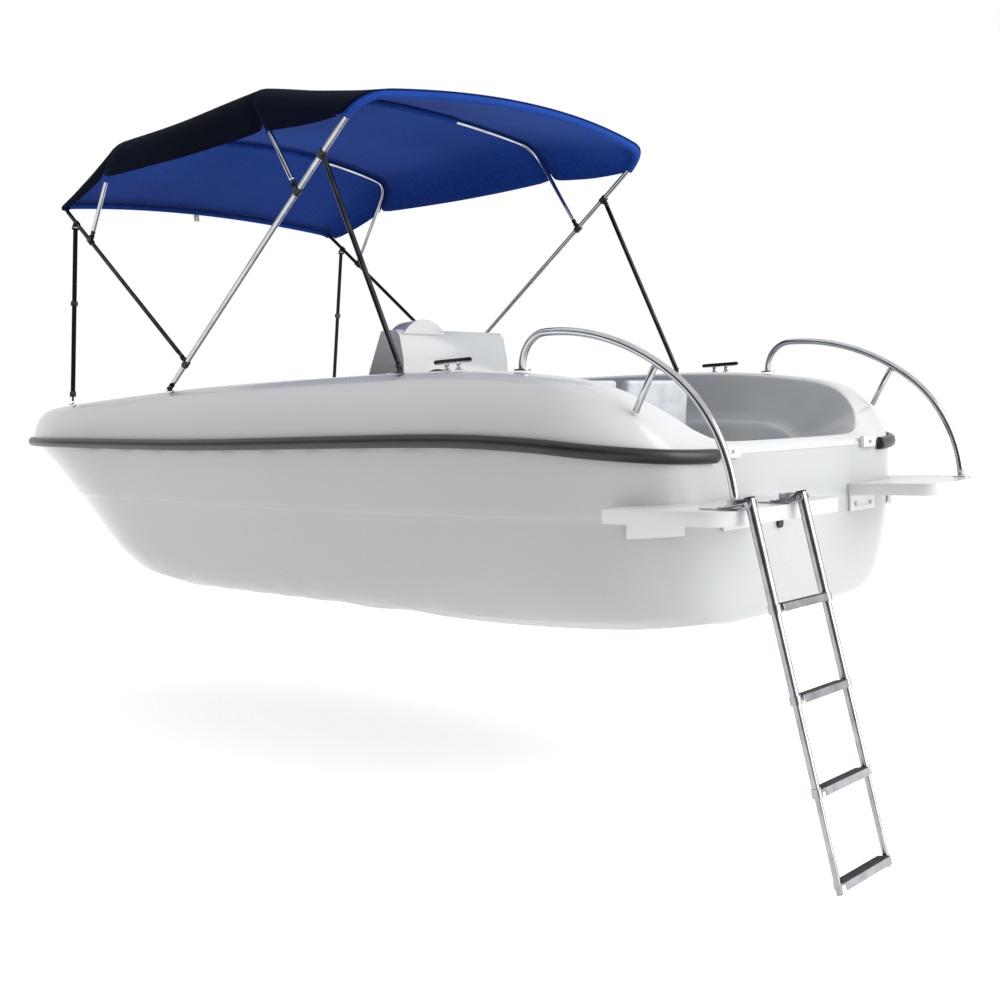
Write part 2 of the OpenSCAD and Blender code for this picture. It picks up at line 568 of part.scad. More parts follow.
// Eye end: a plug over the tube's end with a flat drilled tongue
tongue_t = 7;
module eye_end(d) {
    difference() {
        union() {
            translate([12, 0, 0]) rotate([0, 90, 0]) cylinder(d = d, h = eye_l - 12 - gap, $fn = 48);
            translate([0, tongue_t / 2, -9]) mirror([0, 1, 0]) cube([14, tongue_t, 18]);
            rotate([90, 0, 0]) translate([0, 0, -tongue_t / 2]) cylinder(d = 18, h = tongue_t, $fn = 48);
        }
        rotate([90, 0, 0]) translate([0, 0, -20]) cylinder(d = screw_d + 2 * fit, h = 40, $fn = 32);
    }
}
module eyes(o, a, d) { at_bow(o, a) both() translate([0, bow_y, 0]) eye_end(d); }
module main_eye_ends() { color("#17181a") eyes(main_foot, main_dir, main_d); }
module front_eye_ends() { color("#17181a") eyes(pivot_p, front_dir, bow_d); }
module rear_mid_eyes() { color("#17181a") eyes(pivot_l, rear_mid_dir, bow_d); }
module front_mid_eyes() { color("#17181a") eyes(pivot_a, front_mid_dir, bow_d); }
// Clamp: a collar round the carrying tube with two jaws, off to the side, around an eye end
jaw_t = 4;
collar_w = 34;
module clamp(d, off, side) {
    difference() {
        union() {
            translate([-collar_w / 2, 0, 0]) rotate([0, 90, 0]) cylinder(d = d + 9, h = collar_w, $fn = 48);
            for (e = [-1, 1]) {
                translate([-9, e * (tongue_t / 2 + fit * 4 + jaw_t / 2) - jaw_t / 2, side > 0 ? 0 : -off])
                    cube([18, jaw_t, off]);
                translate([0, e * (tongue_t / 2 + fit * 4 + jaw_t / 2) + jaw_t / 2, side * off])
                    rotate([90, 0, 0])
                    cylinder(d = 18, h = jaw_t, $fn = 48);
            }
        }
        translate([-collar_w, 0, 0]) rotate([0, 90, 0]) cylinder(d = d + 2 * fit, h = 2 * collar_w, $fn = 48);
        translate([0, 20, side * off]) rotate([90, 0, 0]) cylinder(d = screw_d + 2 * fit, h = 40, $fn = 32);
    }
}
module clamp_at(s, d, off, side) { both() translate([s, bow_y, 0]) clamp(d, off, side); }
module main_clamps() {
    color("#17181a") at_bow(main_foot, main_dir) {
        clamp_at(pivot_p_s, main_d, pivot_off, -1);
        clamp_at(pivot_l_s, main_d, pivot_off, -1);
        clamp_at(strut_s, main_d, pivot_off - 4, 1);
    }
}
module front_clamps() { color("#17181a") at_bow(pivot_p, front_dir) clamp_at(front_a_s, bow_d, pivot_off, 1); }
// Deck hinge: a round base with two ears
hinge_base_d = 40;
hinge_base_t = 3;
module deck_hinge(o) {
    base = seat_z(o[0], bow_y, hinge_base_d / 2, hinge_base_d / 2);
    translate([o[0], bow_y, 0]) {
        difference() {
            union() {
                translate([0, 0, base]) cylinder(d = hinge_base_d, h = hinge_base_t, $fn = 48);
                for (e = [-1, 1]) {
                    translate([-9, e * (tongue_t / 2 + fit * 4 + jaw_t / 2) - jaw_t / 2, base])
                        cube([18, jaw_t, o[1] - base]);
                    translate([0, e * (tongue_t / 2 + fit * 4 + jaw_t / 2) + jaw_t / 2, o[1]])
                        rotate([90, 0, 0])
                        cylinder(d = 18, h = jaw_t, $fn = 48);
                }
            }
            translate([0, 20, o[1]]) rotate([90, 0, 0]) cylinder(d = screw_d + 2 * fit, h = 40, $fn = 32);
        }
    }
}
module deck_hinges() { color("#17181a") both() { deck_hinge(main_foot); deck_hinge(strut_g); } }
strut_v = strut_u - strut_g;
strut_len = norm(strut_v);
strut_dir = atan2(strut_v[1], strut_v[0]);
module aft_struts() {
    color("#4b4f54") at_bow(strut_g, strut_dir) both()
        straight([eye_l, bow_y, 0], [strut_len - eye_l, bow_y, 0], bow_d);
}
module strut_ends() {
    color("#17181a") at_bow(strut_g, strut_dir) both() translate([0, bow_y, 0]) {
        eye_end(bow_d);
        translate([strut_len, 0, 0]) rotate([0, 180, 0]) eye_end(bow_d);
    }
}
// Pivot screws with a knurled thumb nut outboard
module screw_at(o) {
    half = tongue_t / 2 + fit * 4 + jaw_t;
    translate([o[0], bow_y, o[1]]) rotate([-90, 0, 0]) {
        translate([0, 0, -half - gap]) cylinder(d = screw_d, h = 2 * (half + gap), $fn = 32);
        translate([0, 0, -half - gap - 3]) cylinder(d = 11, h = 3, $fn = 32);
        translate([0, 0, half + gap]) cylinder(d = 13, h = 6, $fn = 32);
    }
}
module pivot_screws_main() {
    color("#2a2b2e") both() for (o = [main_foot, strut_g, strut_u, pivot_p, pivot_l]) screw_at(o);
}
module pivot_screws_front() { color("#2a2b2e") both() screw_at(pivot_a); }

// ---- canopy ----
// Cloth over the four bows: each rib is the bow's outline, lifted clear of its tube
lift = 9;
n_rib = 20;
function bow_line(o, dir, len, r, d, out, tail, k) =
    let (a = crown_a(r), sc = leg_len(len, r), rr = r + d / 2 + out, cr = crown_r + d / 2 + out,
         arc_n = 5, t = abs(k),
         q = t <= n_rib - arc_n - 1 ? [len - crown_r + cr * cos(a * t / (n_rib - arc_n - 1)),
                                      cr * sin(a * t / (n_rib - arc_n - 1))]
           : t <= n_rib - 1 ? let (b = a + (90 - a) * (t - (n_rib - arc_n - 1)) / arc_n)
                [sc + rr * cos(b), bow_y - r + rr * sin(b)]
           : [sc - tail - 2, bow_y + d / 2 + out],
         p = along(o, dir, q[0])) [p[0], k < 0 ? -q[1] : q[1], p[1]];
function rib(o, dir, len, r, d, out, tail) =
    [for (k = [-n_rib:n_rib]) bow_line(o, dir, len, r, d, out, tail, k)];
function ribs(out) = [
    rib(main_foot, main_dir, main_len, corner_r, main_d, out, 0),
    rib(pivot_l, rear_mid_dir, rear_mid_len, corner_r - 10, bow_d, out, 115),
    rib(pivot_a, front_mid_dir, front_mid_len, corner_r - 30, bow_d, out, 88),
    rib(pivot_p, front_dir, front_len, front_corner_r, bow_d, out, 0)];
n_span = 4;
// Between two ribs the cloth sags a little
function between(a, b, t, sag) =
    [for (i = [0:len(a) - 1]) a[i] * (1 - t) + b[i] * t - [0, 0, sag * 4 * t * (1 - t)]];
function cloth(out) = let (r = ribs(out)) concat([r[0]],
    [for (j = [0:2], i = [1:n_span]) between(r[j], r[j + 1], i / n_span, 8)]);
module canopy() {
    upper = cloth(lift + cloth_t);
    under = cloth(lift);
    m = len(upper[0]);
    n = len(upper);
    color("#16306f") polyhedron(points = concat([for (r = upper) each r], [for (r = under) each r]),
        faces = concat(
        [for (j = [0:n - 2], k = [0:m - 2]) each let (a = j * m + k)
            [[a, a + 1, a + m], [a + 1, a + m + 1, a + m]]],
        [for (j = [0:n - 2], k = [0:m - 2]) each let (a = n * m + j * m + k)
            [[a, a + m, a + 1], [a + 1, a + m, a + m + 1]]],
        [for (k = [0:m - 2]) each let (b = n * m) [[k, b + k, k + 1], [k + 1, b + k, b + k + 1]]],
        [for (k = [0:m - 2]) each let (a = (n - 1) * m, b = n * m + a)
            [[a + k, a + k + 1, b + k], [a + k + 1, b + k + 1, b + k]]],
        [for (j = [0:n - 2]) each let (a = j * m, b = n * m + a) [[a, a + m, b], [a + m, b + m, b]]],
        [for (j = [0:n - 2]) each let (a = j * m + m - 1, b = n * m + a) [[a, b, a + m], [a + m, b, b + m]]]),
        convexity = 8);
}

// ---- straps ----
strap_w = 25;
strap_t = 2;
eye_x = 1611;
eye_z = seat_z(eye_x, bow_y, 20, 11);
eye_foot = [eye_x, eye_z + 19];
strap_v = eye_foot - pivot_s;
strap_dir = atan2(strap_v[1], strap_v[0]);
hook_l = 52;
strap_l = norm(strap_v) - hook_l;
adjust_s = 390;
loop_d = 5;
module strap_sliders() {
    color("#17181a") at_bow(pivot_p, front_dir) both() translate([slider_s, bow_y, 0]) difference() {
        union() {
            translate([-11, 0, 0]) rotate([0, 90, 0]) cylinder(d = bow_d + 8, h = 22, $fn = 48);
            for (e = [-1, 1]) {
                translate([-6, e * 16 - 2, -pivot_off]) cube([12, 4, pivot_off]);
                translate([0, e * 16 + 2, -pivot_off]) rotate([90, 0, 0]) cylinder(d = 12, h = 4, $fn = 32);
            }
            translate([-6, -18, -18]) cube([12, 36, 6]);
            translate([0, 18, -pivot_off]) rotate([90, 0, 0]) cylinder(d = loop_d, h = 36, $fn = 32);
        }
        translate([-30, 0, 0]) rotate([0, 90, 0]) cylinder(d = bow_d + 2 * fit, h = 60, $fn = 48);
    }
}
module straps() {
    color("#141416") at_bow(pivot_s, strap_dir) both() translate([0, bow_y, 0]) difference() {
        union() {
            translate([0, strap_w / 2, 0]) rotate([90, 0, 0]) cylinder(d = loop_d + 5, h = strap_w, $fn = 32);
            translate([0, -strap_w / 2, -strap_t / 2]) cube([strap_l, strap_w, strap_t]);
        }
        translate([0, 30, 0]) rotate([90, 0, 0]) cylinder(d = loop_d + 2 * fit, h = 60, $fn = 32);
    }
}
module strap_fittings() {
    color("#1b1c1e") at_bow(pivot_s, strap_dir) both() translate([0, bow_y, 0]) {
        difference() {
            translate([adjust_s - 12, -18, -6]) cube([24, 36, 12]);
            translate([adjust_s - 20, -strap_w / 2 - gap, -strap_t / 2 - gap])
                cube([40, strap_w + 2 * gap, strap_t + 2 * gap]);
        }
        translate([strap_l + gap, -17, -3]) cube([28, 34, 6]);
        translate([strap_l + 26, -5, -3]) cube([hook_l - 26, 10, 6]);
    }
}
module deck_eyes() {
    color("#b9bcc0") both() translate([eye_x, bow_y, eye_z + 3]) {
        translate([-20, -11, -3]) cube([40, 22, 5]);
        rotate([90, 0, 0]) rotate_extrude(angle = 180, $fn = 48) translate([8, 0]) circle(d = 5, $fn = 24);
    }
}

// ---- deck fittings ----
module cleats() {
    color("#c9ccd0") both() translate([cleat_pos, cleat_y, seat_z(cleat_pos, cleat_y, 36, 12)]) {
        for (k = [-1, 1]) translate([k * 32, 0, 0]) {
            cylinder(d = 30, h = 4, $fn = 48);
            cylinder(d = 16, h = 30, $fn = 48);
        }
        translate([-90, 0, 34]) rotate([0, 90, 0]) cylinder(d = 18, h = 180, $fn = 48);
        for (k = [-1, 1]) translate([k * 90, 0, 34]) sphere(d = 18, $fn = 48);
    }
}
cleat_pos = -1372;
cleat_y = half_beam - 105;
// Bow eye: a plate on the raked stem below the rub rail, with a drilled lug standing out of it
eye_hole_d = 24;
stem_a = hull_outer[8][n_half - 1];
stem_b = hull_outer[9][n_half - 1];
stem_pitch = atan2(stem_b[2] - stem_a[2], stem_b[0] - stem_a[0]);
stem_mid = (stem_a + stem_b) / 2;
lug_out = 24;
module bow_eye() {
    color("#c0c3c7") translate(stem_mid) rotate([0, 90 - stem_pitch, 0]) difference() {
        union() {
            translate([gap, -17, -36]) cube([5, 34, 72]);
            translate([gap, -6, -22]) cube([lug_out, 12, 44]);
            translate([lug_out, 6, 0]) rotate([90, 0, 0]) cylinder(d = 44, h = 12, $fn = 48);
        }
        translate([lug_out, 20, 0]) rotate([90, 0, 0]) cylinder(d = eye_hole_d, h = 40, $fn = 48);
    }
}
module drain_plug() {
    color("#2a2b2d") translate([tx - gap, 165, 380]) rotate([0, 90, 0]) {
        translate([0, 0, -4]) cylinder(d = 34, h = 4, $fn = 48);
        cylinder(d = 24, h = 18, $fn = 48);
    }
}

// ---- console and seats ----
console_aft = -430;
console_y0 = -400;
console_y1 = 275;
console_top = 1224;
module console() {
    color("#eceef0") difference() {
        union() {
            translate([0, console_y1, 0]) rotate([90, 0, 0]) linear_extrude(console_y1 - console_y0) polygon([
                [console_aft, ledge_z - 120], [console_aft, 1090], [console_aft + 20, console_top - 30],
                [console_aft + 45, console_top], [console_aft + 150, console_top], [console_aft + 250, 1040],
                [console_aft + 300, sole_z + gap], [console_aft + 130, sole_z + gap],
                [console_aft + 130, ledge_z - 120]]);
            translate([console_aft - 60, -560, 995]) cube([300, 990, 22]);
            translate([console_aft + 30, 110, console_top - 110]) rotate([0, 90, 0])
                cylinder(r = 158, h = 110, $fn = 96);
        }
        translate([console_aft + 60, console_y0 + 20, sole_z - 10])
            cube([160, console_y1 - console_y0 - 40, 740]);
        translate([console_aft - 20, wheel_y, wheel_z]) rotate([0, 90, 0])
            cylinder(d = 44 + 2 * gap, h = 200, $fn = 48);
    }
}
wheel_y = 150;
wheel_z = 885;
wheel_out = 96;
shaft_d = 20;
module column_bearing() {
    color("#2b2d30") translate([console_aft - 12, wheel_y, wheel_z]) rotate([0, 90, 0]) difference() {
        union() {
            cylinder(d = 44, h = 80, $fn = 48);
            cylinder(d = 78, h = 12 - gap, $fn = 48);
        }
        translate([0, 0, -10]) cylinder(d = shaft_d + 2 * fit, h = 200, $fn = 48);
    }
}
module steering_shaft() {
    color("#8a8d91") translate([console_aft - wheel_out - 10, wheel_y, wheel_z]) rotate([0, 90, 0])
        cylinder(d = shaft_d, h = wheel_out + 88, $fn = 48);
}
module steering_wheel() {
    color("#1c1d1f") translate([console_aft - wheel_out, wheel_y, wheel_z]) rotate([0, 90, 0]) difference() {
        union() {
            rotate_extrude($fn = 96) translate([wheel_d / 2 - 13, 0]) circle(d = 26, $fn = 32);
            for (a = [90, 210, 330]) rotate([0, 0, a]) translate([20, -14, -4])
                cube([wheel_d / 2 - 36, 28, 8]);
            translate([0, 0, -14]) cylinder(d = 70, h = 28, $fn = 48);
        }
        translate([0, 0, -60]) cylinder(d = shaft_d + 2 * fit, h = 120, $fn = 48);
    }
}
module seat(y) {
    translate([0, y + 210, 0]) rotate([90, 0, 0]) linear_extrude(420) polygon([
        [-1020, sole_z + gap], [-1000, 560], [-1030, 590], [-1340, 555], [-1440, 930], [-1480, 930],
        [-1440, 520], [-1430, sole_z + gap]]);
}
module seats() {
    color("#d9dcde") {
        seat(245);
        seat(-245);
    }
}

// ---- pedal drive ----
rider_y = [245, -245];
throw_y = 95;
spindle_l = 70;
module crankshaft() {
    color("#85888c") translate([leg_x, 0, crank_z]) {
        translate([0, bearing_y + 18, 0]) rotate([90, 0, 0])
            cylinder(d = crank_d, h = 2 * bearing_y + 36, $fn = 48);
        for (y = rider_y, e = [-1, 1]) translate([0, y + e * throw_y, 0]) {
            translate([-11, -6, e > 0 ? 0 : -crank_r]) cube([22, 12, crank_r]);
            translate([0, 6, e * crank_r]) rotate([90, 0, 0]) cylinder(d = 26, h = 12, $fn = 48);
            translate([0, 0, e * crank_r]) rotate([90, 0, 0]) translate([0, 0, e > 0 ? 0 : -spindle_l - 6])
                cylinder(d = 12, h = spindle_l + 6, $fn = 32);
        }
    }
}
// Pedal bodies turn on the spindles, inboard of each arm
module pedal(y, e) {
    translate([leg_x, y + e * (throw_y - 6 - 2 - 28), crank_z + e * crank_r]) difference() {
        union() {
            translate([-42, -28, -8]) cube([84, 56, 16]);
            rotate([90, 0, 0]) translate([0, 0, -28]) cylinder(d = 24, h = 56, $fn = 48);
            for (x = [-34, -17, 17, 34]) translate([x - 3, -26, -11]) cube([6, 52, 22]);
        }
        rotate([90, 0, 0]) translate([0, 0, -60]) cylinder(d = 12 + 2 * fit, h = 120, $fn = 32);
    }
}
module pedals_upper() { color("#222326") for (y = rider_y) pedal(y, 1); }
module pedals_lower() { color("#222326") for (y = rider_y) pedal(y, -1); }
bearing_y = 430;
module crank_bearings() {
    color("#5d6064") {
        for (y = [-bearing_y, bearing_y]) translate([leg_x, y, 0]) crank_post();
        translate([leg_x, 0, 0]) difference() {
            union() {
                translate([0, 45, crank_z]) rotate([90, 0, 0]) cylinder(d = 90, h = 90, $fn = 64);
                translate([0, 0, sole_z + 61 + gap]) cylinder(d = 60, h = crank_z - sole_z - 62, $fn = 64);
            }
            translate([0, 100, crank_z]) rotate([90, 0, 0]) cylinder(d = crank_d + 2 * fit, h = 200, $fn = 48);
        }
    }
}
module crank_post() {
    difference() {
        union() {
            translate([-25, -15, sole_z + gap]) cube([50, 30, crank_z - sole_z]);
            translate([0, 15, crank_z]) rotate([90, 0, 0]) cylinder(d = 50, h = 30, $fn = 48);
            translate([-45, -25, sole_z + gap]) cube([90, 50, 8]);
        }
        translate([0, 60, crank_z]) rotate([90, 0, 0]) cylinder(d = crank_d + 2 * fit, h = 120, $fn = 48);
    }
}
prop_z = -prop_d / 2 - 14;
// Trunk: a sleeve through the hull and the sole. The leg stands in it and carries the propeller
module drive_trunk() {
    color("#d5d8da") translate([leg_x, 0, 0]) difference() {
        union() {
            translate([0, 0, 1]) cylinder(d = trunk_d, h = sole_z + 19, $fn = 64);
            translate([0, 0, sole_z + gap]) cylinder(d = trunk_d + 50, h = 20, $fn = 64);
        }
        translate([0, 0, -10]) cylinder(d = trunk_d - 16, h = sole_z + 60, $fn = 64);
    }
}
module drive_leg() {
    color("#3a3d41") translate([leg_x, 0, 0]) difference() {
        union() {
            translate([0, 0, prop_z]) cylinder(d = 34, h = sole_z + 61 - prop_z, $fn = 48);
            translate([0, 0, sole_z + 20 + 2 * gap]) cylinder(d = trunk_d + 30, h = 12, $fn = 64);
            translate([0, 0, sole_z + 20]) cylinder(d = 58, h = 41, $fn = 64);
            translate([-60, 0, prop_z]) rotate([0, 90, 0]) cylinder(d = 44, h = 110, $fn = 48);
            translate([50, 0, prop_z]) sphere(d = 44, $fn = 48);
        }
        translate([-90, 0, prop_z]) rotate([0, 90, 0]) cylinder(d = prop_shaft_d + 2 * fit, h = 90, $fn = 48);
    }
}
module propeller() {
    color("#b08d3c") translate([leg_x - 62, 0, prop_z]) rotate([0, -90, 0]) {
        cylinder(d = 36, h = 34, $fn = 48);
        translate([0, 0, 34]) cylinder(d1 = 36, d2 = 12, h = 20, $fn = 48);
        translate([0, 0, -50]) cylinder(d = prop_shaft_d, h = 52, $fn = 48);
        for (a = [0, 120, 240]) rotate([0, 0, a]) translate([12, 0, 17]) rotate([32, 0, 0])
            translate([prop_d / 4 - 6, 0, 0]) intersection() {
                translate([0, 0, -3]) cylinder(d = prop_d / 2, h = 6, $fn = 48);
                translate([-prop_d / 2, -20, -5]) cube([prop_d, 40, 10]);
            }
    }
}
module rudder_tube() {
    color("#5b5e62") translate([rudder_x, 0, 0]) difference() {
        union() {
            translate([0, 0, keel(rudder_x) + 1]) cylinder(d = stock_hole_d, h = 180, $fn = 48);
            translate([0, 0, skin + keel(rudder_x) + 2.4]) cylinder(d = stock_hole_d + 40, h = 8, $fn = 48);
        }
        translate([0, 0, -20]) cylinder(d = stock_d + 2 * fit, h = 300, $fn = 48);
    }
}
module rudder() {
    color("#33363a") translate([rudder_x, 0, 0]) {
        translate([0, 0, -rudder_depth + 10]) cylinder(d = stock_d, h = rudder_depth + 200, $fn = 48);
        translate([-85, -5, -rudder_depth - 4]) cube([115, 10, rudder_depth]);
        translate([-12, -14, 186]) cube([90, 28, 12]);
    }
}

hull_shell();
deck_liner();
rub_rail();
corner_caps();
corner_bolts();
port_platform();
starboard_platform();
platform_bolts();
port_grab_rail();
starboard_grab_rail();
rail_bases();
ladder_brackets();
ladder_pins();
ladder_caps();
ladder_rails_1();
ladder_rails_2();
ladder_rails_3();
ladder_rails_4();
ladder_step_1();
ladder_step_2();
ladder_step_3();
ladder_step_4();
main_bow();
main_eye_ends();
deck_hinges();
main_clamps();
front_bow();
front_eye_ends();
front_clamps();
rear_mid_bow();
rear_mid_eyes();
front_mid_bow();
front_mid_eyes();
aft_struts();
strut_ends();
pivot_screws_main();
pivot_screws_front();
canopy();
strap_sliders();
straps();
strap_fittings();
deck_eyes();
cleats();
bow_eye();
console();
steering_wheel();
steering_shaft();
column_bearing();
seats();
crankshaft();
crank_bearings();
pedals_upper();
pedals_lower();
drive_leg();
drive_trunk();
propeller();
rudder();
rudder_tube();
drain_plug();
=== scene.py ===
import json
import math

import bmesh
import bpy
from mathutils import Matrix, Vector, noise


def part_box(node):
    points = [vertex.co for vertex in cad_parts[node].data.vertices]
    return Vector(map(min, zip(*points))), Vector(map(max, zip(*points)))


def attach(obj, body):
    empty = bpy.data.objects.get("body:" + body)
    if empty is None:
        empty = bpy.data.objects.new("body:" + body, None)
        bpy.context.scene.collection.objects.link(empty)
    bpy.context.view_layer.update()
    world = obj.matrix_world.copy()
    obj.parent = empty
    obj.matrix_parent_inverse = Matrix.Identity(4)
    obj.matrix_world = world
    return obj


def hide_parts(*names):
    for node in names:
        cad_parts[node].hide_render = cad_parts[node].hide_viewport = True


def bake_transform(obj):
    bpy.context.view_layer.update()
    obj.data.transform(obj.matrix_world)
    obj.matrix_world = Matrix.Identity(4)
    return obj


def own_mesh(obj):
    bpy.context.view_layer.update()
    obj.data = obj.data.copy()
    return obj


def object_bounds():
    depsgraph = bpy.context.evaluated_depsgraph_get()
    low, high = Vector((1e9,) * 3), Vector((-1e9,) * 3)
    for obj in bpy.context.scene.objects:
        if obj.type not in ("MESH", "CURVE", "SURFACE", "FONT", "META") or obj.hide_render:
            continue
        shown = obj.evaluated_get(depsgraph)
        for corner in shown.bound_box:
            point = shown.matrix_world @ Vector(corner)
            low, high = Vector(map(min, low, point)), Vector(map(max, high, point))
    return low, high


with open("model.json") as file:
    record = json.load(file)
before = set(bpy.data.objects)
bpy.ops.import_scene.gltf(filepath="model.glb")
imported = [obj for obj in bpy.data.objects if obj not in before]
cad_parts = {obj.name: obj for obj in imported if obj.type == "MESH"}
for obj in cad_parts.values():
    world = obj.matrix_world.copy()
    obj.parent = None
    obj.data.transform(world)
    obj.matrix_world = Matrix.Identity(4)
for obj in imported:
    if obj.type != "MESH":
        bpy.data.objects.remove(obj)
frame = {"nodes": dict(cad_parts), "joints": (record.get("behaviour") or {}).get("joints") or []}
nodes = frame["nodes"]
joints = {joint["name"]: joint for joint in frame["joints"]}
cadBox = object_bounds()
collection = bpy.context.scene.collection

# camera off the port quarter of the stern, a little below the gunwale's rails
viewpoint = {
    "place": (-4.5955, 3.8617, 0.7595),
    "forward": (0.70539, -0.70622, -0.06064),
    "right": (-0.70868, -0.70435, -0.04066),
    "lens": 43.2,
    "sensor": 36.0,
    "farClip": 200,
}
forward = Vector(viewpoint["forward"]).normalized()
right = Vector(viewpoint["right"])
right = (right - right.dot(forward) * forward).normalized()
up = right.cross(forward)
cameraData = bpy.data.cameras.new("camera")
cameraData.lens = viewpoint["lens"]
cameraData.sensor_width = viewpoint["sensor"]
cameraData.clip_end = viewpoint["farClip"]
camera = bpy.data.objects.new("camera", cameraData)
collection.objects.link(camera)
turned = Matrix((right, up, -forward)).transposed().to_4x4()
camera.matrix_world = Matrix.Translation(viewpoint["place"]) @ turned
bpy.context.scene.camera = camera
bpy.context.scene.view_settings.view_transform = "Standard"
print("camera set")


# colours are sRGB codes
def toLinear(code):
    values = [int(code[i:i + 2], 16) / 255 for i in (1, 3, 5)]
    return [v / 12.92 if v <= 0.04045 else ((v + 0.055) / 1.055) ** 2.4 for v in values] + [1.0]


# adds a node with its settings, and its inputs as values or as (node, output)
def addNode(tree, kind, settings, links):
    node = tree.nodes.new(kind)
    for name, value in settings.items():
        setattr(node, name, value)
    for name, value in links.items():
        if isinstance(value, tuple) and isinstance(value[0], bpy.types.Node):
            tree.links.new(value[0].outputs[value[1]], node.inputs[name])
        else:
            node.inputs[name].default_value = value
    return node


# where on a noise the darker tone ends and the lighter one starts
toneMix = (0.35, 0.65)


# a material whose colour is two close tones, mixed by whatever is linked to the second node it returns
def newMaterial(name, dark, light, roughness, metallic, sockets):
    material = bpy.data.materials.new(name)
    material.use_nodes = True
    tree = material.node_tree
    shader = tree.nodes["Principled BSDF"]
    shader.inputs["Roughness"].default_value = roughness
    shader.inputs["Metallic"].default_value = metallic
    for socket, value in sockets.items():
        shader.inputs[socket].default_value = value
    tones = addNode(tree, "ShaderNodeValToRGB", {}, {})
    for element, position, code in zip(tones.color_ramp.elements, toneMix, (dark, light)):
        element.position = position
        element.color = toLinear(code)
    tree.links.new(tones.outputs["Color"], shader.inputs["Base Color"])
    return material, tones, shader


# sizes are in metres on the piece; polish is the spread of roughness about its value
families = {
    # sprayed gelcoat off a waxed mould: glossy, with a faint orange peel and a cloudy tone
    "gelcoat": {
        "metallic": 0.0,
        "sockets": {"IOR": 1.5, "Coat Weight": 0.3, "Coat Roughness": 0.1},
        "toneSize": 0.8,
        "polishSize": 0.3,
        "polish": (0.92, 1.1),
        "detail": {"tone": 2, "polish": 2, "grain": 1},
        "relief": 0.06,
    },
    # drawn or cast metal, polished: bright, with hair lines and a few duller patches
    "metal": {
        "metallic": 1.0,
        "sockets": {},
        "toneSize": 0.06,
        "polishGrains": 12,
        "polish": (0.6, 1.5),
        "detail": {"tone": 3, "polish": 5, "grain": 4},
        "relief": 0.15,
    },
    # moulded nylon or rubber: satin, with a fine spark-eroded grain
    "moulded": {
        "metallic": 0.0,
        "sockets": {"IOR": 1.5},
        "toneSize": 0.05,
        "polishSize": 0.02,
        "polish": (0.85, 1.2),
        "detail": {"tone": 4, "polish": 4, "grain": 3},
        "relief": 0.4,
    },
}


# one finish of a family: tone patches, uneven polish and a grain of its own size and depth
def surfaced(family, name, dark, light, roughness, grain, depth):
    look = families[family]
    material, tones, shader = newMaterial(name, dark, light, roughness, look["metallic"], look["sockets"])
    tree = material.node_tree
    place = addNode(tree, "ShaderNodeTexCoord", {}, {})
    sizes = {
        "tone": look["toneSize"],
        "polish": look.get("polishSize") or grain * look["polishGrains"],
        "grain": grain,
    }
    patches = {}
    for part, size in sizes.items():
        patches[part] = addNode(tree, "ShaderNodeTexNoise", {}, {
            "Vector": (place, "Object"), "Scale": 1 / size, "Detail": look["detail"][part]})
    tree.links.new(patches["tone"].outputs["Fac"], tones.inputs["Fac"])
    smooth, rough = look["polish"]
    polish = addNode(tree, "ShaderNodeMapRange", {}, {
        "Value": (patches["polish"], "Fac"), "To Min": roughness * smooth, "To Max": roughness * rough})
    tree.links.new(polish.outputs["Result"], shader.inputs["Roughness"])
    relief = addNode(tree, "ShaderNodeBump", {}, {
        "Height": (patches["grain"], "Fac"), "Distance": depth, "Strength": look["relief"]})
    tree.links.new(relief.outputs["Normal"], shader.inputs["Normal"])
    return material


# the reliefDepth is in metres, and threadWander bends the threads a little, as a loom does
weave = {
    "ior": 1.4,
    "sheen": 0.2,
    "sheenRoughness": 0.5,
    "waveTurns": 0.314,
    "threadWander": 0.6,
    "threadDetail": 2.0,
    "fibreDetail": 5,
    "fibreShare": 1.4,
    "fibreMiddle": 0.7,
    "cloudSize": 1.2,
    "cloudDetail": 1,
    "reliefDepth": 0.0005,
    "relief": 0.35,
}


